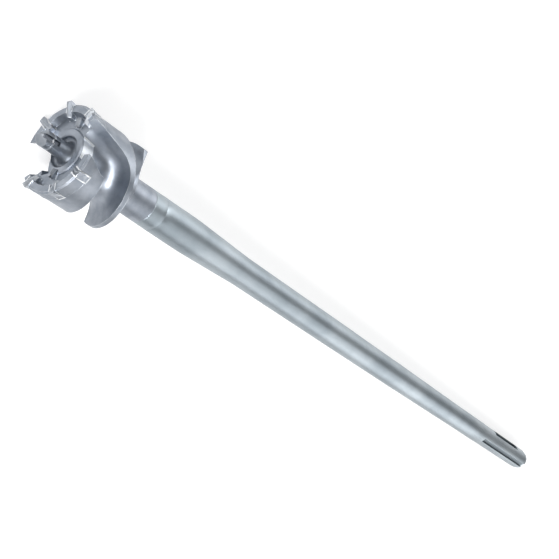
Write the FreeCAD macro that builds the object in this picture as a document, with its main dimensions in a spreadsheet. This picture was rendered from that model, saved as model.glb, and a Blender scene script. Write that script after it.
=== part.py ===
import FreeCAD, Part
import math
import os
import Sketcher
from FreeCAD import Vector

os.makedirs("parts", exist_ok=True)
doc = FreeCAD.newDocument("MasonryBit")

# Sizes in millimetres and degrees. Names that end in Back are distances from the pilot point, and
# names that end in X are distances from the driven end of the shank.

# Whole tool
wholeLength = 630.0
crownRadius = 27.5

# Shaft and shank
shankRadius = 9.0
shankRelief = 0.18
guideRearX = 92.0
guideFrontX = 130.0
slimX = 247.0
slimRadius = 9.55
rodX = 320.0
rodRadius = 9.675
taperLength = 52.0
neckLength = 45.0
neckRadius = 11.3
neckFrontRadius = 11.0
seamBack = 83.0
seamChamfer = 0.3
ringGap = 10.0
ringWidth = 0.5
ringDepth = 0.15
neckRun = 22.0
shankNose = 1.6
shankNoseLength = 7.0

# Drive grooves and locking recesses of the shank
grooveWidth = 4.0
grooveFloor = 6.3
grooveLength = 90.0
grooveAngle = 68.0
grooveSpread = 35.0
lockWidth = 6.0
lockFloor = 6.4
lockStartX = 24.0
lockLength = 48.0

# Head body: rim, floor, boss, collar and neck
insertProud = 1.5
bandProud = 0.2
bandLength = 7.4
rimBack = 15.6
rimEdge = 1.0
rimWidth = 3.4
rimSlope = 1.3
rimHeight = 4.0
bossRadius = 13.6
bossProud = 1.0
bossChamfer = 0.6
bossDepth = 8.4
headRearBack = 62.0
rearHollow = 2.5
shoulderRun = 2.5
collarRadius = 17.2
headNeckRadius = 10.8

# Flutes, laid out on the unrolled body surface
gulletMidAngle = 233.8
gulletMidBack = 18.5
gulletSlope = 64.0
gulletHalf = 10.36
gulletCorner = 8.3
gulletFlare = 0.7
fluteMidAngle = 300.0
fluteMidBack = 42.79
fluteSlope = 13.76
fluteHalf = 8.25
turnRadius = 13.0
coreRadius = 11.3
tailPlane = 17.0
tailAngle = 58.0

# Pilot
pilotBoreRadius = 4.0
pilotBoreBack = 31.0
cupRadius = 9.2
cupLip = 0.5
cupDepth = 4.6
cupFoot = 7.1
cupOpening = 0.4
postRadius = 4.7
postFoot = 2.0
postFootLength = 7.5
brazeThick = 0.3
tipRearBack = 8.0
tipShoulderBack = 3.4
tipChisel = 1.7
tipRidge = 0.25
tipRoofBack = 4.6
tipNotchWidth = 2.5
tipNotchDepth = 1.4
tipNotchBack = 12.0
notchAngle = 67.0
ridgeAngle = 48.0

# Outer carbide inserts
outThick = 3.8
outWide = 8.9
outProud = 1.6
outTall = 9.2
outRoof = 1.5
outRidge = 0.25
outEndDrop = 0.9
outEndRun = 1.6
outInnerDrop = 2.4
outHeelRun = 1.5

# Inner carbide inserts
inThick = 3.6
inWide = 5.0
inClear = 1.0
inSecondClear = 1.2
inInnerDrop = 1.0
inProud = 3.8
inTall = 8.6
inRoof = 1.3

namedSizes = {alias: value for alias, value in globals().items() if isinstance(value, float)}
sheet = doc.addObject("Spreadsheet::Sheet", "sizes")
sheetRow = [0]


def size(alias, value):
    sheetRow[0] += 1
    cell = "B%d" % sheetRow[0]
    sheet.set("A%d" % sheetRow[0], alias)
    sheet.set(cell, str(value))
    sheet.setAlias(cell, alias)


def val(alias):
    return float(getattr(sheet, alias))


for alias, value in namedSizes.items():
    size(alias, value)

# Sizes that follow from the ones above
size("groovedRadius", "=shankRadius - shankRelief")
size("seamX", "=wholeLength - seamBack")
size("ringBack", "=seamBack + ringGap")
size("neckRearBack", "=seamBack + neckLength")
size("taperRearBack", "=neckRearBack + taperLength")
size("grooveHalf", "=grooveWidth / 2")
size("lockHalf", "=lockWidth / 2")
size("bodyRadius", "=crownRadius - insertProud")
size("bandRadius", "=bodyRadius + bandProud")
size("rimCrest", "=bandRadius - rimEdge")
size("rimInnerTop", "=rimCrest - rimWidth")
size("rimInnerFoot", "=rimInnerTop - rimSlope")
size("rimEdgeBack", "=rimBack + rimEdge")
size("bandBack", "=rimBack + bandLength")
size("floorBack", "=rimBack + rimHeight")
size("bossBack", "=floorBack - bossProud")
size("bossRearBack", "=bossBack + bossDepth")
size("collarBack", "=headRearBack - rearHollow")
size("shoulderBack", "=headRearBack + shoulderRun")
size("bossFlat", "=cupRadius - cupOpening")
size("cupWallBack", "=bossBack + cupLip")
size("cupFloorBack", "=bossBack + cupDepth")
size("tipNotchFloor", "=postRadius - tipNotchDepth")
size("notchHalf", "=tipNotchWidth / 2")
size("outOuter", "=crownRadius")
size("outInner", "=crownRadius - outWide")
size("outFront", "=rimBack - outProud")
size("outRear", "=outFront + outTall")
size("outHalfThick", "=outThick / 2")
size("inInner", "=bossRadius + inClear")
size("inOuter", "=inInner + inWide")
size("inSecondInner", "=cupRadius + cupLip + inSecondClear")
size("inSecondOuter", "=inSecondInner + inWide")
size("inFront", "=floorBack - inProud")
size("inRear", "=inFront + inTall")
size("inHalfThick", "=inThick / 2")
size("slotFront", "=rimBack - 5.6")
doc.recompute()


# Sketch helpers. Every corner is held by its two distances from the origin.
def sketchOn(body, plane, label):
    sk = body.newObject("Sketcher::SketchObject", label)
    for feature in body.Origin.OriginFeatures:
        if getattr(feature, "Role", "") == plane:
            sk.AttachmentSupport = [(feature, "")]
    sk.MapMode = "FlatFace"
    return sk


def polygon(sk, corners):
    first = sk.GeometryCount
    count = len(corners)
    exprs = []
    points = []
    for u, v in corners:
        exprs.append((str(u), str(v)))
        points.append(Vector(sumOf(u), sumOf(v), 0))
    for i in range(count):
        sk.addGeometry(Part.LineSegment(points[i], points[(i + 1) % count]))
    for i in range(count):
        sk.addConstraint(Sketcher.Constraint("Coincident", first + i, 2, first + (i + 1) % count, 1))
    for i in range(count):
        c = sk.addConstraint(Sketcher.Constraint("DistanceX", -1, 1, first + i, 1, points[i].x))
        sk.setExpression("Constraints[%d]" % c, withSheet(exprs[i][0]))
        c = sk.addConstraint(Sketcher.Constraint("DistanceY", -1, 1, first + i, 1, points[i].y))
        sk.setExpression("Constraints[%d]" % c, withSheet(exprs[i][1]))
    return sk


# A corner is written as a sum of sizes and plain numbers, such as wholeLength - ringBack
def terms(text):
    parts = str(text).replace("-", " - ").replace("+", " + ").split()
    sign = 1
    found = []
    for word in parts:
        if word == "-":
            sign = -sign
        elif word == "+":
            pass
        else:
            found.append((sign, word))
            sign = 1
    return found


def isNumber(word):
    return word.replace(".", "", 1).isdigit()


def sumOf(text):
    total = 0.0
    for sign, word in terms(text):
        total += sign * (float(word) if isNumber(word) else val(word))
    return total


def withSheet(text):
    pieces = []
    for sign, word in terms(text):
        pieces.append("- " if sign < 0 else "+ ")
        pieces.append(word + " " if isNumber(word) else "sizes." + word + " ")
    return "0 " + "".join(pieces).strip()


def revolve(body, label, corners):
    sk = polygon(sketchOn(body, "XY_Plane", label + "_profile"), corners)
    rev = body.newObject("PartDesign::Revolution", label + "_turned")
    rev.Profile = sk
    rev.ReferenceAxis = (sk, ["H_Axis"])
    rev.Angle = 360
    return rev


def back(alias):
    return "wholeLength - " + alias


# Rotation about X of a feature whose direction on the crown is the angle phi
def turned(phi):
    return FreeCAD.Placement(Vector(0, 0, 0), FreeCAD.Rotation(Vector(1, 0, 0), 180 - phi))


# Point at a distance back from the pilot point, a radius and a crown angle
def at(backPos, radius, phi):
    a = math.radians(phi)
    return Vector(val("wholeLength") - backPos, -radius * math.cos(a), radius * math.sin(a))


# Shaft with the drive end of the shank
shaft = doc.addObject("PartDesign::Body", "shaft_shank")
revolve(shaft, "shaft", [
    ("0", "0"),
    ("seamX", "0"),
    ("seamX", "neckFrontRadius - seamChamfer"),
    ("seamX - seamChamfer", "neckFrontRadius"),
    (back("ringBack") + " + ringWidth", "neckFrontRadius + 0.1"),
    (back("ringBack"), "neckFrontRadius + 0.1 - ringDepth"),
    (back("ringBack") + " - ringWidth", "neckFrontRadius + 0.15"),
    (back("ringBack") + " - neckRun", "neckRadius"),
    (back("neckRearBack"), "neckRadius"),
    (back("taperRearBack"), "rodRadius"),
    ("rodX", "rodRadius"),
    ("slimX", "slimRadius"),
    ("guideFrontX", "shankRadius"),
    ("guideRearX", "shankRadius"),
    ("guideRearX - 0.4", "groovedRadius"),
    ("shankNoseLength", "groovedRadius"),
    ("1.6", "shankRadius - shankNose + 0.6"),
    ("0", "shankRadius - shankNose - 1"),
])


def grooveCut(label, width, floor, startX, length, angle):
    sk = sketchOn(shaft, "XY_Plane", label + "_plan")
    sk.AttachmentOffset = FreeCAD.Placement(Vector(0, 0, 0), FreeCAD.Rotation(Vector(1, 0, 0), angle))
    polygon(sk, [
        (startX, "0 - " + width),
        (startX + " + " + length, "0 - " + width),
        (startX + " + " + length, width),
        (startX, width),
    ])
    cut = shaft.newObject("PartDesign::Pocket", label)
    cut.Profile = sk
    cut.Type = 0
    cut.Length = 10
    cut.Reversed = True
    sk.AttachmentOffset = FreeCAD.Placement(
        FreeCAD.Rotation(Vector(1, 0, 0), angle).multVec(Vector(0, 0, val(floor))),
        FreeCAD.Rotation(Vector(1, 0, 0), angle))
    return cut


grooveCut("groove_near", "grooveHalf", "grooveFloor", "0", "grooveLength", val("grooveAngle") - 90)
grooveCut("groove_far_left", "grooveHalf", "grooveFloor", "0", "grooveLength",
          val("grooveAngle") + 90 - val("grooveSpread"))
grooveCut("groove_far_right", "grooveHalf", "grooveFloor", "0", "grooveLength",
          val("grooveAngle") + 90 + val("grooveSpread"))
grooveCut("lock_one", "lockHalf", "lockFloor", "lockStartX", "lockLength", val("grooveAngle"))
grooveCut("lock_two", "lockHalf", "lockFloor", "lockStartX", "lockLength", val("grooveAngle") + 180)

# Head blank, turned all round
blank = doc.addObject("PartDesign::Body", "head_blank")
revolve(blank, "blank", [
    (back("floorBack"), "0"),
    (back("floorBack"), "rimInnerFoot"),
    (back("rimBack"), "rimInnerTop"),
    (back("rimBack"), "rimCrest"),
    (back("rimEdgeBack"), "bandRadius"),
    (back("bandBack"), "bandRadius"),
    (back("bandBack") + " - bandProud", "bodyRadius"),
    (back("headRearBack"), "bodyRadius"),
    (back("collarBack"), "collarRadius"),
    (back("shoulderBack"), "headNeckRadius"),
    ("seamX + seamChamfer", "neckFrontRadius"),
    ("seamX", "neckFrontRadius - seamChamfer"),
    ("seamX", "0"),
])

# Boss that carries the pilot, turned proud of the gullet floor
boss = doc.addObject("PartDesign::Body", "head_boss")
revolve(boss, "boss", [
    (back("bossRearBack"), "0"),
    (back("bossRearBack"), "bossRadius"),
    (back("bossBack") + " - bossChamfer", "bossRadius"),
    (back("bossBack"), "bossRadius - bossChamfer"),
    (back("bossBack"), "0"),
])
doc.recompute()


# Flute: rounded channels lofted along a path that drops steeply from the crown, turns and then
# runs as a right hand helix. The path is laid out on the unrolled body surface.
def flutePath():
    perDegree = math.radians(1) * val("bodyRadius")
    steep = math.radians(val("gulletSlope"))
    shallow = math.radians(val("fluteSlope"))
    gulletW = val("gulletMidAngle") * perDegree
    helixW = val("fluteMidAngle") * perDegree
    rise = val("fluteMidBack") - val("gulletMidBack")
    cornerW = (rise + math.tan(steep) * gulletW - math.tan(shallow) * helixW) \
        / (math.tan(steep) - math.tan(shallow))
    cornerS = val("gulletMidBack") + math.tan(steep) * (cornerW - gulletW)
    half = (steep - shallow) / 2
    reach = val("turnRadius") * math.tan(half)
    startW = cornerW - reach * math.cos(steep)
    startS = cornerS - reach * math.sin(steep)
    centreW = startW + val("turnRadius") * math.sin(steep)
    centreS = startS - val("turnRadius") * math.cos(steep)
    stations = []
    for step in (-28, -24, -20, -16, -12, -8, -4):
        stations.append((startW + step * math.cos(steep), startS + step * math.sin(steep), steep, 0.0))
    for i in range(9):
        k = i / 8.0
        a = steep + (shallow - steep) * k
        stations.append((centreW - val("turnRadius") * math.sin(a),
                         centreS + val("turnRadius") * math.cos(a), a, k * k * (3 - 2 * k)))
    endW, endS = stations[-1][0], stations[-1][1]
    for k in range(1, 13):
        run = 11.5 * k
        stations.append((endW + run * math.cos(shallow), endS + run * math.sin(shallow), shallow, 1.0))
    return stations, perDegree


# The floor of a flute rises from the core to the collar as it nears the rear of the head
def floorRadius(phi):
    if phi < 320:
        return val("coreRadius")
    k = min(1.0, (phi - 320) / 120.0)
    k = k * k * (3 - 2 * k)
    return val("coreRadius") + k * (val("collarRadius") + 0.05 - val("coreRadius"))


def fluteSection(w, s, slope, blend, perDegree, flat):
    half = val("gulletHalf") + (val("fluteHalf") - val("gulletHalf")) * blend
    corner = val("gulletCorner") + (half - 0.15 - val("gulletCorner")) * min(1.0, blend * 1.3)
    floor = floorRadius(w / perDegree)
    top = val("bodyRadius") + 4
    a = math.radians(w / perDegree)
    outward = Vector(0, -math.cos(a), math.sin(a))
    across = Vector(0, math.sin(a), math.cos(a)) * (-math.sin(slope)) + Vector(-1, 0, 0) * math.cos(slope)
    origin = Vector(val("wholeLength") - s, 0, 0)

    # v runs across the channel, rho outwards; the channel is wrapped on the body, and its floor
    # opens out a little near the core
    def pt(v, rho):
        if flat:
            return origin + across * v + outward * rho
        widen = 1 + val("gulletFlare") * (1 - blend) * (val("bodyRadius") - rho) / val("bodyRadius")
        around = w - v * math.sin(slope) * widen
        return at(s + v * math.cos(slope), rho, around / perDegree)

    bend = corner * (1 - math.sqrt(0.5))

    def curve(points):
        spline = Part.BSplineCurve()
        spline.interpolate(points)
        return spline.toShape()

    left = curve([pt(-half, floor + corner), pt(-half + bend, floor + bend), pt(-half + corner, floor)])
    right = curve([pt(half - corner, floor), pt(half - bend, floor + bend), pt(half, floor + corner)])
    edges = [
        Part.LineSegment(pt(-half, top), pt(-half, floor + corner)).toShape(),
        left,
        curve([pt(-half + corner, floor), pt(0, floor), pt(half - corner, floor)]),
        right,
        Part.LineSegment(pt(half, floor + corner), pt(half, top)).toShape(),
        curve([pt(half, top), pt(0, top), pt(-half, top)]),
    ]
    return Part.Wire(edges)


def fluteTool():
    stations, perDegree = flutePath()
    wires = []
    for w, s, a, k in stations:
        flat = (w, s, a, k) in (stations[0], stations[-1])
        wires.append(fluteSection(w, s, a, k, perDegree, flat))
    return Part.makeLoft(wires, True, False)


# Run-out of a flute: behind the land the collar is clear, and the tail of the next land is
# ended by a flat cut that touches the collar circle
def exitTool():
    perDegree = math.radians(1) * val("bodyRadius")
    shallow = math.radians(val("fluteSlope"))
    halfAxial = val("fluteHalf") / math.cos(shallow)
    tangent = 360 + val("tailAngle")

    def section(phi):
        mid = val("fluteMidBack") + math.tan(shallow) * (phi - val("fluteMidAngle")) * perDegree
        front = mid - halfAxial * 0.35
        rear = val("shoulderBack") + 11.5
        inner = val("collarRadius") + 0.02
        outer = val("bodyRadius") + 10
        corners = [at(front, inner, phi), at(rear, inner, phi), at(rear, outer, phi), at(front, outer, phi)]
        return Part.makePolygon(corners + [corners[0]])

    def run(first, last, step):
        wires = []
        phi = first
        while phi <= last + 0.01:
            wires.append(section(phi))
            phi += step
        return Part.makeLoft(wires, True, False)

    clear = run(tangent - 2, tangent + 142, 8)
    cut = run(tangent - 62, tangent + 2, 8)
    wide = 2 * val("bodyRadius") + 28
    block = Part.makeBox(60, wide, 40)
    block.translate(Vector(val("wholeLength") - 100, -wide / 2, val("tailPlane")))
    block.rotate(Vector(0, 0, 0), Vector(1, 0, 0), 90 - val("tailAngle"))
    return clear, cut.common(block)


fluteOne = fluteTool()
exitClear, exitCut = exitTool()
toolShapes = []
for shape in (fluteOne, exitClear, exitCut):
    toolShapes.append(shape)
    other = shape.copy()
    other.rotate(Vector(0, 0, 0), Vector(1, 0, 0), 180)
    toolShapes.append(other)

tools = []
for i, shape in enumerate(toolShapes):
    tool = doc.addObject("Part::Feature", "flute_tool_%d" % i)
    tool.Shape = shape
    tools.append(tool)

stage = blank
for i, tool in enumerate(tools):
    cut = doc.addObject("Part::Cut", "head_cut_%d" % i)
    cut.Base = stage
    cut.Tool = tool
    cut.Refine = False
    doc.recompute()
    print("flute cut", i + 1, cut.Shape.isValid(), len(cut.Shape.Solids))
    stage = cut
fluted = stage

bossed = doc.addObject("Part::Fuse", "head_bossed")
bossed.Base = fluted
bossed.Tool = boss
bossed.Refine = False
doc.recompute()
print("bossed", round(bossed.Shape.Volume, 1), bossed.Shape.isValid(), len(bossed.Shape.Solids))


# Hollow around the pilot in the face of the boss. Its wall is a quarter of an ellipse in short
# straight turns.
cup = doc.addObject("PartDesign::Body", "boss_cup")
cupTurns = 6
cupProfile = [
    (back("slotFront"), "0"),
    (back("slotFront"), "cupRadius + cupLip"),
    (back("bossBack"), "cupRadius + cupLip"),
    (back("cupWallBack"), "cupRadius"),
]
for i in range(1, cupTurns):
    a = math.radians(90.0 * i / cupTurns)
    size("cupX%d" % i, "=cupWallBack + (cupFloorBack - cupWallBack) * %.5f" % math.sin(a))
    size("cupR%d" % i, "=cupFoot + (cupRadius - cupFoot) * %.5f" % math.cos(a))
    cupProfile.append(("wholeLength - cupX%d" % i, "cupR%d" % i))
doc.recompute()
cupProfile.append((back("cupFloorBack"), "cupFoot"))
cupProfile.append((back("cupFloorBack"), "0"))
revolve(cup, "cup", cupProfile)
cupped = doc.addObject("Part::Cut", "head_cupped")
cupped.Base = bossed
cupped.Tool = cup
cupped.Refine = False
doc.recompute()


# Slots for the carbide, each the insert grown by the braze on the seat and the two sides
def slotBox(label, inner, outer, run, rear, thick, phi):
    box = doc.addObject("Part::Box", label)
    box.setExpression("Length", "sizes.%s + sizes.brazeThick - sizes.slotFront" % rear)
    box.setExpression("Width", "sizes.%s + %s - sizes.%s" % (outer, run, inner))
    box.setExpression("Height", "sizes.%s + 2 * sizes.brazeThick" % thick)
    wide = val(thick) + 2 * val("brazeThick")
    turn = FreeCAD.Rotation(Vector(1, 0, 0), 180 - phi)
    corner = Vector(val("wholeLength") - val(rear) - val("brazeThick"), val(inner), -wide / 2)
    box.Placement = FreeCAD.Placement(turn.multVec(corner), turn)
    return box


outerAngles = [287, 330, 12, 102, 142, 194]
outerRises = [0.8, 1.2, -0.4, 0.0, 0.0, 0.2]
innerAngles = [355, 160]
innerEnds = [("inInner", "inOuter"), ("inSecondInner", "inSecondOuter")]
slots = []
for i, phi in enumerate(outerAngles):
    slots.append(slotBox("slot_outer_%d" % (i + 1), "outInner", "outOuter", "2.5", "outRear", "outThick", phi))
for i, phi in enumerate(innerAngles):
    inner, outer = innerEnds[i]
    slots.append(slotBox("slot_inner_%d" % (i + 1), inner, outer, "0", "inRear", "inThick", phi))

# One gullet runs in through the edge of the boss
runIn = doc.addObject("PartDesign::Body", "boss_run_in")
runInSide = sketchOn(runIn, "XY_Plane", "boss_run_in_side")
polygon(runInSide, [
    (back("bossRearBack"), "coreRadius"),
    (back("bossBack"), "bossFlat"),
    (back("slotFront"), "bossFlat"),
    (back("slotFront"), "bossRadius + 1"),
    (back("bossRearBack"), "bossRadius + 1"),
])
runInPad = runIn.newObject("PartDesign::Pad", "boss_run_in_pad")
runInPad.Profile = runInSide
runInPad.Midplane = True
runInPad.setExpression("Length", "2 * sizes.gulletHalf + 0.5")
runIn.Placement = turned(val("gulletMidAngle"))

bore = doc.addObject("Part::Cylinder", "pilot_bore")
bore.setExpression("Radius", "sizes.pilotBoreRadius")
bore.setExpression("Height", "sizes.pilotBoreBack - sizes.bossBack + 4")
bore.Placement = FreeCAD.Placement(
    Vector(val("wholeLength") - val("pilotBoreBack"), 0, 0), FreeCAD.Rotation(Vector(0, 1, 0), 90))
cutters = doc.addObject("Part::Compound", "seat_cutters")
cutters.Links = slots + [runIn, bore]
head = doc.addObject("Part::Cut", "head_body")
head.Base = cupped
head.Tool = cutters
head.Refine = False
doc.recompute()
print("head", round(head.Shape.Volume, 1), head.Shape.isValid(), len(head.Shape.Solids))

# Pilot post, shouldered on the floor of the hollow
post = doc.addObject("PartDesign::Body", "pilot_post")
revolve(post, "post", [
    ("wholeLength - pilotBoreBack + 1", "0"),
    ("wholeLength - pilotBoreBack + 1", "pilotBoreRadius"),
    ("wholeLength - cupFloorBack", "pilotBoreRadius"),
    ("wholeLength - cupFloorBack", "postRadius + postFoot"),
    ("wholeLength - cupFloorBack + 0.8", "postRadius + postFoot"),
    ("wholeLength - cupFloorBack + 3", "postRadius + 0.8"),
    ("wholeLength - cupFloorBack + postFootLength", "postRadius"),
    ("wholeLength - tipRearBack - brazeThick", "postRadius"),
    ("wholeLength - tipRearBack - brazeThick", "0"),
])


# Flat-bottomed notch along one side of the pilot, through tip and post
def notch(body, label, side):
    s = sketchOn(body, "XZ_Plane", label + "_plan")
    polygon(s, [
        ("wholeLength - tipNotchBack", "0 - notchHalf"),
        ("wholeLength + 1", "0 - notchHalf"),
        ("wholeLength + 1", "notchHalf"),
        ("wholeLength - tipNotchBack", "notchHalf"),
    ])
    s.AttachmentOffset = FreeCAD.Placement(Vector(0, 0, -side * val("tipNotchFloor")), FreeCAD.Rotation())
    cut = body.newObject("PartDesign::Pocket", label)
    cut.Profile = s
    cut.Reversed = side < 0
    cut.Length = 12
    return cut


notch(post, "post_notch_one", 1)
notch(post, "post_notch_two", -1)
post.Placement = turned(val("notchAngle"))

# Pilot tip: a full carbide head with a chisel edge and two roof flats
tip = doc.addObject("PartDesign::Body", "pilot_tip")
revolve(tip, "tip", [
    ("wholeLength - tipRearBack", "0"),
    ("wholeLength - tipRearBack", "postRadius + 0.05"),
    ("wholeLength - tipShoulderBack", "postRadius + 0.05"),
    ("wholeLength", "tipChisel"),
    ("wholeLength", "0"),
])
sk = sketchOn(tip, "XY_Plane", "tip_roof_plan")
across = val("notchAngle") - val("ridgeAngle") - 90
sk.AttachmentOffset = FreeCAD.Placement(Vector(0, 0, 0), FreeCAD.Rotation(Vector(1, 0, 0), across))
for side in ("", "0 - "):
    low = "tipRidge" if side == "" else "0 - tipRidge"
    polygon(sk, [
        ("wholeLength - tipRoofBack", side + "postRadius"),
        ("wholeLength", low),
        ("wholeLength + 2", low),
        ("wholeLength + 2", side + "8"),
        ("wholeLength - tipRoofBack", side + "8"),
    ])
roof = tip.newObject("PartDesign::Pocket", "tip_roof_cut")
roof.Profile = sk
roof.Midplane = True
roof.Length = 40
notch(tip, "tip_notch_one", 1)
notch(tip, "tip_notch_two", -1)
tip.Placement = turned(val("notchAngle"))

# Braze disc between the carbide head and the post
disc = doc.addObject("PartDesign::Body", "braze_pilot")
revolve(disc, "disc", [
    ("wholeLength - tipRearBack - brazeThick", "0"),
    ("wholeLength - tipRearBack - brazeThick", "postRadius"),
    ("wholeLength - tipRearBack", "postRadius"),
    ("wholeLength - tipRearBack", "0"),
])
notch(disc, "disc_notch_one", 1)
notch(disc, "disc_notch_two", -1)
disc.Placement = turned(val("notchAngle"))


# Braze foil: fills the slot under and beside a carbide plate, a thin U flush with the steel
def brazeU(label, phi, inner, outer, rear, front, half):
    body = doc.addObject("PartDesign::Body", label)
    s = sketchOn(body, "XZ_Plane", label + "_section")
    polygon(s, [
        ("wholeLength - %s - brazeThick" % rear, "0 - %s - brazeThick" % half),
        ("wholeLength - %s" % front, "0 - %s - brazeThick" % half),
        ("wholeLength - %s" % front, "0 - %s" % half),
        ("wholeLength - %s" % rear, "0 - %s" % half),
        ("wholeLength - %s" % rear, half),
        ("wholeLength - %s" % front, half),
        ("wholeLength - %s" % front, "%s + brazeThick" % half),
        ("wholeLength - %s - brazeThick" % rear, "%s + brazeThick" % half),
    ])
    p = body.newObject("PartDesign::Pad", label + "_foil")
    p.Profile = s
    p.Reversed = True
    s.AttachmentOffset = FreeCAD.Placement(Vector(0, 0, -sumOf(inner)), FreeCAD.Rotation())
    p.setExpression("Length", withSheet(outer) + " - (" + withSheet(inner) + ")")
    body.Placement = turned(phi)
    return body


def flush(label, foil):
    trimmed = doc.addObject("Part::Common", label)
    trimmed.Base = foil
    trimmed.Tool = blank
    trimmed.Refine = False
    return trimmed


# Carbide insert: a plate whose ridge stands highest at its outer end and falls towards the pilot
def insert(label, phi, inner, outer, front, rear, thick, half, roof, endDrop, endRun, innerDrop, heel):
    body = doc.addObject("PartDesign::Body", label)
    s = sketchOn(body, "XY_Plane", label + "_side")
    polygon(s, [
        ("wholeLength - %s" % rear, inner),
        ("wholeLength - %s - %s" % (front, innerDrop), inner),
        ("wholeLength - %s" % front, "%s - %s" % (outer, endRun)),
        ("wholeLength - %s - %s" % (front, endDrop), outer),
        ("wholeLength - %s" % rear, "%s - %s" % (outer, heel)),
    ])
    p = body.newObject("PartDesign::Pad", label + "_plate")
    p.Profile = s
    p.Midplane = True
    p.setExpression("Length", "sizes." + thick)
    crest = val(outer) - val(endRun)
    fall = math.degrees(math.atan2(val(innerDrop), crest - val(inner)))
    s = sketchOn(body, "XZ_Plane", label + "_ridge")
    for side in ("", "0 - "):
        polygon(s, [
            ("0 - " + roof, side + half),
            ("0", side + "outRidge"),
            ("4", side + "outRidge"),
            ("4", side + "6"),
            ("0 - " + roof, side + "6"),
        ])
    s.AttachmentOffset = FreeCAD.Placement(
        Vector(val("wholeLength") - val(front), 0, -crest), FreeCAD.Rotation(Vector(0, 1, 0), -fall))
    c = body.newObject("PartDesign::Pocket", label + "_ridge_cut")
    c.Profile = s
    c.Midplane = True
    c.Length = 40
    body.Placement = turned(phi)
    return body


# The outer inserts stand a little unevenly, as they were brazed
nodes = [shaft, head, post, tip, disc]
for i, rise in enumerate(outerRises):
    size("outFront%d" % (i + 1), "=outFront - (%s)" % rise)
doc.recompute()
for i, phi in enumerate(outerAngles):
    name = "outer_%d" % (i + 1)
    nodes.append(insert("carbide_" + name, phi, "outInner", "outOuter", "outFront%d" % (i + 1), "outRear",
                        "outThick", "outHalfThick", "outRoof", "outEndDrop", "outEndRun",
                        "outInnerDrop", "outHeelRun"))
    foil = brazeU("foil_" + name, phi, "outInner", "crownRadius", "outRear", "outFront%d" % (i + 1), "outHalfThick")
    nodes.append(flush("braze_" + name, foil))
for i, phi in enumerate(innerAngles):
    name = "inner_%d" % (i + 1)
    inner, outer = innerEnds[i]
    nodes.append(insert("carbide_" + name, phi, inner, outer, "inFront", "inRear",
                        "inThick", "inHalfThick", "inRoof", "outEndDrop", "outEndRun",
                        "inInnerDrop", "0"))
    foil = brazeU("foil_" + name, phi, inner, outer, "inRear", "inFront", "inHalfThick")
    nodes.append(flush("braze_" + name, foil))
doc.recompute()

for obj in doc.Objects:
    if "Invalid" in obj.State or "Error" in obj.State:
        print("PROBLEM", obj.Name, obj.State)
for node in nodes:
    node.Label = node.Name
    shape = node.Shape
    print(node.Label, shape.isValid(), len(shape.Solids), round(shape.Volume, 1))
    shape.exportStep("parts/%s.step" % node.Label)
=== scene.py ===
import bpy
import math
from mathutils import Matrix, Vector


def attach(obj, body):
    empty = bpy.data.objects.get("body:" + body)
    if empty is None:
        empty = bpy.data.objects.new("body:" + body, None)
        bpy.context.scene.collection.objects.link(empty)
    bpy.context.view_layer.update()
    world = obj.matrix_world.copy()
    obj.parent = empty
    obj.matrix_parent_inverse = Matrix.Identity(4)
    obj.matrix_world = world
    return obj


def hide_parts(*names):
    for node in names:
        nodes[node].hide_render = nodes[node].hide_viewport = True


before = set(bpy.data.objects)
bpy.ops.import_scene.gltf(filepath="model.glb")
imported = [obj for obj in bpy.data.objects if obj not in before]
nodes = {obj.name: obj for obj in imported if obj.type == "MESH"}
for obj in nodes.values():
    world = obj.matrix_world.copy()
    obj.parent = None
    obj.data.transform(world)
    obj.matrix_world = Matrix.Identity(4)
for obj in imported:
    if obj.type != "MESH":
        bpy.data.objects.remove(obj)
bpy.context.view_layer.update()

# A masonry bit lying on a pale floor. The CAD solids are dressed one by one: edges broken, braze raised,
# bright lines of wear and painted highlight added, and a steel, carbide or braze finish. Names that end in Mm are in
# millimetres.

for loaded in bpy.context.selected_objects:
    loaded.select_set(False)
print("frame loaded:", len(nodes), "nodes")


def hexColour(text):  # sRGB hex to linear
    parts = []
    for i in (0, 2, 4):
        part = int(text[i:i + 2], 16) / 255.0
        parts.append(part / 12.92 if part <= 0.04045 else ((part + 0.055) / 1.055) ** 2.4)
    return (parts[0], parts[1], parts[2], 1.0)


def addNode(tree, kind, settings, links):
    node = tree.nodes.new(kind)
    for key, value in settings.items():
        if isinstance(key, int) or key in node.inputs.keys():
            node.inputs[key].default_value = value
        else:
            setattr(node, key, value)
    for socket, source in links.items():
        tree.links.new(source, node.inputs[socket])
    return node


def newMaterial(name):
    material = bpy.data.materials.new(name)
    material.use_nodes = True
    material.node_tree.nodes.clear()
    return material, material.node_tree


# One inside the ring of a painted band, given as rear and front along X and inner and outer radius, nought elsewhere
def paintedLightMask(tree, place, paintedLightBandMm):
    rear, front, inner, outer = [size / 1000.0 for size in paintedLightBandMm]
    split = addNode(tree, "ShaderNodeSeparateXYZ", {}, {"Vector": place})
    flat = addNode(tree, "ShaderNodeCombineXYZ", {}, {"Y": split.outputs["Y"], "Z": split.outputs["Z"]})
    radius = addNode(tree, "ShaderNodeVectorMath", {"operation": "LENGTH"}, {0: flat.outputs[0]})
    distances = []
    for start, end, source in ((rear, front, split.outputs["X"]), (inner, outer, radius.outputs["Value"])):
        spread = addNode(tree, "ShaderNodeMapRange", {"From Min": start, "From Max": end, "To Min": -1.0,
                                                      "To Max": 1.0, "clamp": False}, {"Value": source})
        distances.append(addNode(tree, "ShaderNodeMath", {"operation": "ABSOLUTE"}, {0: spread.outputs[0]}))
    farthest = addNode(tree, "ShaderNodeMath", {"operation": "MAXIMUM"},
                       {0: distances[0].outputs[0], 1: distances[1].outputs[0]})
    inside = addNode(tree, "ShaderNodeMath", {"operation": "LESS_THAN", 1: 1.0}, {0: farthest.outputs[0]})
    return inside.outputs[0]


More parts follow.
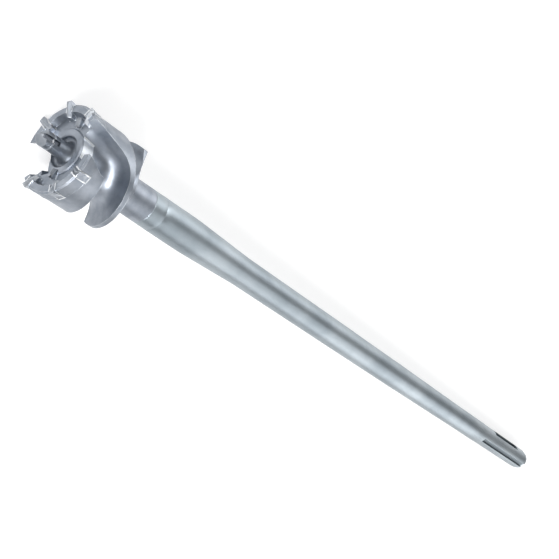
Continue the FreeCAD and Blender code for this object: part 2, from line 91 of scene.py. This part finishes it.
# Metal with clouds of tone and a fine grain in gloss and relief. The real grit is about 0.1 mm, which is too
# fine to show in the render, so the grain is drawn three to six times as coarse.
def grainedMetal(name, look):
    material, tree = newMaterial(name)
    place = addNode(tree, "ShaderNodeTexCoord", {}, {}).outputs["Object"]
    clouds = addNode(tree, "ShaderNodeTexNoise", {"Scale": 1000.0 / look["cloudMm"], "Detail": 5.0}, {"Vector": place})
    grain = addNode(tree, "ShaderNodeTexNoise", {"Scale": 1000.0 / look["grainMm"], "Detail": 3.0}, {"Vector": place})
    tone = addNode(tree, "ShaderNodeValToRGB", {}, {"Fac": clouds.outputs[0]})
    for element, stop, colour in zip(tone.color_ramp.elements, (0.35, 0.65), (look["dark"], look["light"])):
        element.position = stop
        element.color = hexColour(colour)
    gloss = addNode(tree, "ShaderNodeMapRange", {"From Min": 0.3, "From Max": 0.7, "To Min": look["rough"] - 0.05,
                                                 "To Max": look["rough"] + 0.06}, {"Value": grain.outputs[0]})
    bump = addNode(tree, "ShaderNodeBump", {"Strength": look["bump"], "Distance": look["grainMm"] * 0.0001},
                   {"Height": grain.outputs[0]})
    colour = tone.outputs[0]
    # A band of painted light: the look's band colour is painted into the ring, as painted shade or painted highlight
    if "paintedLightBandMm" in look:
        paintedLightMix = addNode(tree, "ShaderNodeMix", {"data_type": "RGBA", "B": hexColour(look["paintedLightColour"])},
                         {"Factor": paintedLightMask(tree, place, look["paintedLightBandMm"]), "A": colour})
        colour = paintedLightMix.outputs["Result"]
    shader = addNode(tree, "ShaderNodeBsdfPrincipled", {"Metallic": 1.0},
                     {"Base Color": colour, "Roughness": gloss.outputs[0], "Normal": bump.outputs[0]})
    addNode(tree, "ShaderNodeOutputMaterial", {}, {"Surface": shader.outputs[0]})
    return material


# Alloy steel rod, turned and blasted: satin, so that lamps show as long soft bands. The floors of the grooves in the
# shank are painted darker, as painted shade.
shaftLook = {"dark": "959FA6", "light": "AAB3B9", "rough": 0.4, "bump": 0.35, "cloudMm": 26.0, "grainMm": 0.6,
             "paintedLightBandMm": (2.0, 92.5, 0.0, 7.7), "paintedLightColour": "5F686E"}
shaftSteel = grainedMetal("satinShaftSteel", shaftLook)

# Hardened steel, milled and shot blasted: a softer and greyer shine. The turned side of the boss is painted pale, as a
# painted highlight.
headLook = {"dark": "8C939D", "light": "A6ACB5", "rough": 0.43, "bump": 0.35, "cloudMm": 9.0, "grainMm": 0.5,
            "paintedLightBandMm": (602.8, 610.3, 13.4, 14.4), "paintedLightColour": "E4E8EC"}
headSteel = grainedMetal("blastedHeadSteel", headLook)

# Turned steel of the pilot's post, oiled: darker and duller than the head
postLook = {"dark": "7C828B", "light": "8E949C", "rough": 0.46, "bump": 0.35, "cloudMm": 5.0, "grainMm": 0.4}
postSteel = grainedMetal("turnedPostSteel", postLook)

# Tungsten carbide, sintered and ground: small clouds and a crisp shine
carbideLook = {"dark": "878D96", "light": "AEB3BA", "rough": 0.33, "bump": 0.4, "cloudMm": 4.0, "grainMm": 0.3}
carbide = grainedMetal("groundCarbide", carbideLook)

# Carbide of two outer inserts, drawn paler than the rest
paleInsertLook = {"dark": "A6ABB2", "light": "C8CCD1", "rough": 0.36, "bump": 0.15, "cloudMm": 4.0, "grainMm": 0.3}
paleInsertCarbide = grainedMetal("paleOuterCarbide", paleInsertLook)

# Carbide of the pilot, ground finer: smooth and even
pilotLook = {"dark": "8A9098", "light": "A6ABB2", "rough": 0.38, "bump": 0.15, "cloudMm": 5.0, "grainMm": 0.3}
pilotCarbide = grainedMetal("pilotCarbide", pilotLook)

# Floor of the pilot's notches, painted dark, and dull: painted shade in the notches
notchShadeLook = {"dark": "666B73", "light": "7C8189", "rough": 0.5, "bump": 0.5, "cloudMm": 2.0, "grainMm": 0.3}
notchShadeCarbide = grainedMetal("paintedNotchShade", notchShadeLook)

# Silver braze, melted in a fillet: the palest and smoothest metal here
brazeLook = {"dark": "D0D4D8", "light": "F0F2F4", "rough": 0.3, "bump": 0.5, "cloudMm": 3.0, "grainMm": 0.4}
braze = grainedMetal("silverBraze", brazeLook)

# Edges that blasting and handling have rubbed bright, drawn paler still: wear and a painted highlight along the edges
edgeWearAndSheenLook = {"dark": "8E949C", "light": "CCD1D6", "rough": 0.35, "bump": 0.3, "cloudMm": 3.0, "grainMm": 0.5}
wornEdgeAndSheen = grainedMetal("wornSteelEdgeAndSheen", edgeWearAndSheenLook)
print("materials made")


def makeActive(piece):
    bpy.context.view_layer.objects.active = piece
    piece.select_set(True)


# Thin bright lines along the sharp edges that lie ahead of fromMm and farther from the axis than innerMm: rubbed wear
# and painted highlight
def addWornAndSheenLines(piece, wearAndSheen):
    line = bpy.data.objects.new("wearAndSheen", piece.data.copy())
    bpy.context.scene.collection.objects.link(line)
    piece.select_set(False)
    makeActive(line)
    bpy.ops.object.mode_set(mode="EDIT")
    bpy.ops.mesh.select_mode(type="EDGE")
    bpy.ops.mesh.select_all(action="DESELECT")
    bpy.ops.mesh.edges_select_sharp(sharpness=math.radians(wearAndSheen["angle"]))
    bpy.ops.object.mode_set(mode="OBJECT")
    points = line.data.vertices
    for edge in line.data.edges:
        rearmost = min(points[v].co.x for v in edge.vertices)
        nearest = min(points[v].co.yz.length for v in edge.vertices)
        if rearmost < wearAndSheen["fromMm"] / 1000.0 or nearest < wearAndSheen["innerMm"] / 1000.0:
            edge.select = False
    bpy.ops.object.mode_set(mode="EDIT")
    bpy.ops.mesh.select_all(action="INVERT")
    bpy.ops.mesh.delete(type="EDGE")
    bpy.ops.mesh.select_all(action="SELECT")
    bpy.ops.mesh.delete(type="ONLY_FACE")
    bpy.ops.object.mode_set(mode="OBJECT")
    bpy.ops.object.convert(target="CURVE")
    line = bpy.context.active_object
    line.data.bevel_depth = wearAndSheen["widthMm"] / 2000.0
    line.data.bevel_resolution = 1
    bpy.ops.object.convert(target="MESH")
    line = bpy.context.active_object
    line.data.materials.clear()
    line.data.materials.append(wornEdgeAndSheen)
    bpy.ops.object.shade_smooth()
    makeActive(piece)
    bpy.ops.object.join()


# A copy of the CAD node stands for it. smooth is the angle up to which faces are shaded as one surface.
def dress(name, material, finish):
    piece = bpy.data.objects.new(name + "_dressed", nodes[name].data.copy())
    bpy.context.scene.collection.objects.link(piece)
    piece.matrix_world = Matrix.Identity(4)
    makeActive(piece)
    bpy.ops.object.mode_set(mode="EDIT")
    bpy.ops.mesh.select_all(action="SELECT")
    bpy.ops.mesh.remove_doubles(threshold=0.000001)
    bpy.ops.mesh.customdata_custom_splitnormals_clear()
    if "swellMm" in finish:
        bpy.ops.transform.shrink_fatten(value=finish["swellMm"] / 1000.0)
    bpy.ops.object.mode_set(mode="OBJECT")
    piece.data.materials.clear()
    piece.data.materials.append(material)
    bpy.ops.object.shade_smooth_by_angle(angle=math.radians(finish["smooth"]))
    # Bevel faces take the pale edge metal: wear and painted highlight
    if "bevelMm" in finish:
        piece.data.materials.append(wornEdgeAndSheen)
        bevel = piece.modifiers.new("edges", "BEVEL")
        bevel.width = finish["bevelMm"] / 1000.0
        bevel.segments = 1
        bevel.limit_method = "ANGLE"
        bevel.angle_limit = math.radians(finish["bevelAngle"])
        bevel.material = 1
        bpy.ops.object.modifier_apply(modifier=bevel.name)
    if "wearAndSheen" in finish:
        addWornAndSheenLines(piece, finish["wearAndSheen"])
    piece.select_set(False)
    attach(piece, "root")
    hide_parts(name)
    print(name, len(piece.data.polygons), "faces")
    return piece


# Shaft and shank
shaftFinish = {"smooth": 30}
dress("shaft_shank", shaftSteel, shaftFinish)

# Head, with its rims and the mouths of the insert slots worn bright and given a painted highlight
headFinish = {"smooth": 30, "wearAndSheen": {"widthMm": 0.19, "angle": 38, "fromMm": 568, "innerMm": 14}}
dress("head_body", headSteel, headFinish)

# Pilot: the post and its carbide head
postFinish = {"smooth": 30}
post = dress("pilot_post", postSteel, postFinish)
# The broken edges of the inserts and pilot tip take the pale edge metal: wear and painted highlight
insertFinish = {"smooth": 30, "bevelMm": 0.25, "bevelAngle": 25}
tip = dress("pilot_tip", pilotCarbide, insertFinish)

# The hollow of the boss runs up into the post in one smooth sweep, given as places along X and radii
sweepMm = [(611.0, 9.15), (609.8, 8.95), (608.9, 8.4), (608.4, 7.6), (608.5, 6.8), (609.2, 6.1), (610.4, 5.55),
           (612.2, 5.1), (614.8, 4.85), (618.0, 4.72)]
lipX, lipRadius = sweepMm[0]
bpy.ops.mesh.primitive_circle_add(vertices=64, radius=lipRadius / 1000.0, location=(lipX / 1000.0, 0, 0),
                                  rotation=(0, math.radians(90), 0))
sweep = bpy.context.active_object
bpy.ops.object.transform_apply(location=True, rotation=True, scale=True)
bpy.ops.object.mode_set(mode="EDIT")
bpy.ops.mesh.select_all(action="SELECT")
for (x, radius), (nextX, nextRadius) in zip(sweepMm, sweepMm[1:]):
    bpy.ops.mesh.extrude_region_move(TRANSFORM_OT_translate={"value": ((nextX - x) / 1000.0, 0, 0)})
    growth = nextRadius / radius
    bpy.ops.transform.resize(value=(1, growth, growth), center_override=(nextX / 1000.0, 0, 0))
bpy.ops.object.mode_set(mode="OBJECT")
sweep.data.materials.append(postSteel)
bpy.ops.object.shade_smooth()
makeActive(post)
bpy.ops.object.join()
post.select_set(False)

# The two side notches of the pilot are painted dark inside: painted shade
notchShadeRegion = {"angle": 67, "halfWidthMm": 1.32, "floorMm": 2.9, "rearX": 0.6175}
notchAngle = math.radians(notchShadeRegion["angle"])
outward = Vector((0, -math.cos(notchAngle), math.sin(notchAngle)))
sideways = Vector((0, outward.z, -outward.y))
for piece in (post, tip):
    piece.data.materials.append(notchShadeCarbide)
    notchShadeSlot = len(piece.data.materials) - 1
    for face in piece.data.polygons:
        inWidth = abs(face.center.dot(sideways)) < notchShadeRegion["halfWidthMm"] / 1000.0
        aboveFloor = abs(face.center.dot(outward)) > notchShadeRegion["floorMm"] / 1000.0
        if inWidth and aboveFloor and face.center.x > notchShadeRegion["rearX"]:
            face.material_index = notchShadeSlot

# Inserts and their braze, which stands a little proud of each slot
# Two outer inserts are drawn in the paler carbide
paleInserts = ("carbide_outer_3", "carbide_outer_6")
brazeFinish = {"smooth": 50, "swellMm": 0.35}
for name in sorted(nodes):
    if name.startswith("carbide"):
        dress(name, paleInsertCarbide if name in paleInserts else carbide, insertFinish)
    elif name.startswith("braze"):
        dress(name, braze, brazeFinish)
print("pieces dressed")


# Strength of a white glow: its light for every ray, and what metal mirrors and the camera sees on top of that
def shownStrength(tree, glow):
    ray = addNode(tree, "ShaderNodeLightPath", {}, {})
    seen = addNode(tree, "ShaderNodeMath", {"operation": "MAXIMUM"},
                   {0: ray.outputs["Is Glossy Ray"], 1: ray.outputs["Is Transmission Ray"]})
    mirrored = addNode(tree, "ShaderNodeMath", {"operation": "MULTIPLY_ADD", 1: glow["mirrored"], 2: glow["light"]},
                       {0: seen.outputs[0]})
    total = addNode(tree, "ShaderNodeMath", {"operation": "MULTIPLY_ADD", 1: glow["camera"]},
                    {0: ray.outputs["Is Camera Ray"], 2: mirrored.outputs[0]})
    return total.outputs[0]


# Matt floor, white to the camera. It slopes down from under the shank to under the crown, which it clears, so
# that the bit lies on it and keeps its soft shadow.
floorPlan = {"span": 6.0, "shankZ": -0.0092, "drop": 0.0186, "run": 0.612}
floorGlow = {"light": 0.0, "mirrored": 0.4, "camera": 0.6}
bpy.ops.mesh.primitive_plane_add(size=floorPlan["span"], location=(0, 0, 0))
floor = bpy.context.active_object
floor.name = "studio_floor"
slope = Matrix.Rotation(math.atan(floorPlan["drop"] / floorPlan["run"]), 4, "Y")
floor.data.transform(Matrix.Translation(Vector((0, 0, floorPlan["shankZ"]))) @ slope)
floor.select_set(False)
paleFloor, tree = newMaterial("paleFloor")
glow = addNode(tree, "ShaderNodeEmission", {"Color": (1, 1, 1, 1)}, {"Strength": shownStrength(tree, floorGlow)})
matt = addNode(tree, "ShaderNodeBsdfDiffuse", {"Color": hexColour("BABABA")}, {})
mixed = addNode(tree, "ShaderNodeAddShader", {}, {0: glow.outputs[0], 1: matt.outputs[0]})
addNode(tree, "ShaderNodeOutputMaterial", {}, {"Surface": mixed.outputs[0]})
floor.data.materials.append(paleFloor)

# World: soft light from all round, white where the camera looks past the floor
worldGlow = {"light": 0.2, "mirrored": 0.08, "camera": 0.8}
world = bpy.data.worlds.new("studio")
bpy.context.scene.world = world
world.use_nodes = True
world.node_tree.nodes.clear()
sky = addNode(world.node_tree, "ShaderNodeBackground", {"Color": (1, 1, 1, 1)},
              {"Strength": shownStrength(world.node_tree, worldGlow)})
addNode(world.node_tree, "ShaderNodeOutputWorld", {}, {"Surface": sky.outputs[0]})

# Square softboxes: place, side in metres and power in watts. All of them face the head.
headPlace = Vector((0.58, 0, 0))
softboxes = {
    "overheadSoftbox": ((-1.13, 0.68, 1.29), 2.0, 12),
    "sideSoftbox": ((0.51, 1.56, 1.62), 2.0, 11),
    "frontSoftbox": ((1.64, 1.24, 1.55), 0.9, 50),
    "farSoftbox": ((0.33, -1.7, 1.45), 1.25, 22),
    "pilotSoftbox": ((2.18, -1.08, 1.16), 1.0, 10),
    "rearSoftbox": ((-1.5, 0.79, 0.35), 1.25, 7),
    "edgeSoftbox": ((-0.86, -1.63, 0.59), 1.25, 8),
}
for name, (place, side, power) in softboxes.items():
    light = bpy.data.lights.new(name, "AREA")
    light.shape = "SQUARE"
    light.size = side
    light.energy = power
    lamp = bpy.data.objects.new(name, light)
    bpy.context.scene.collection.objects.link(lamp)
    lamp.location = place
    lamp.rotation_mode = "QUATERNION"
    lamp.rotation_quaternion = (headPlace - Vector(place)).to_track_quat("-Z", "Y")
print("stage and lights made")

# Camera at the photograph's angle, above and in front of the head. right and up are the picture's own directions.
view = {"place": (0.9523, 0.0003, 0.4867), "right": (-0.55071, -0.56008, 0.61889),
        "up": (0.38480, -0.82832, -0.40721), "lens": 71.285}
camera = bpy.data.cameras.new("photoCamera")
camera.lens = view["lens"]
camera.sensor_width = 36.0
camera.clip_start = 0.01
camera.clip_end = 50
shot = bpy.data.objects.new("photoCamera", camera)
bpy.context.scene.collection.objects.link(shot)
right = Vector(view["right"]).normalized()
up = Vector(view["up"]).normalized()
turn = Matrix((right, up, right.cross(up))).transposed().to_4x4()
shot.matrix_world = Matrix.Translation(Vector(view["place"])) @ turn
bpy.context.scene.camera = shot
bpy.context.scene.view_settings.view_transform = "Standard"
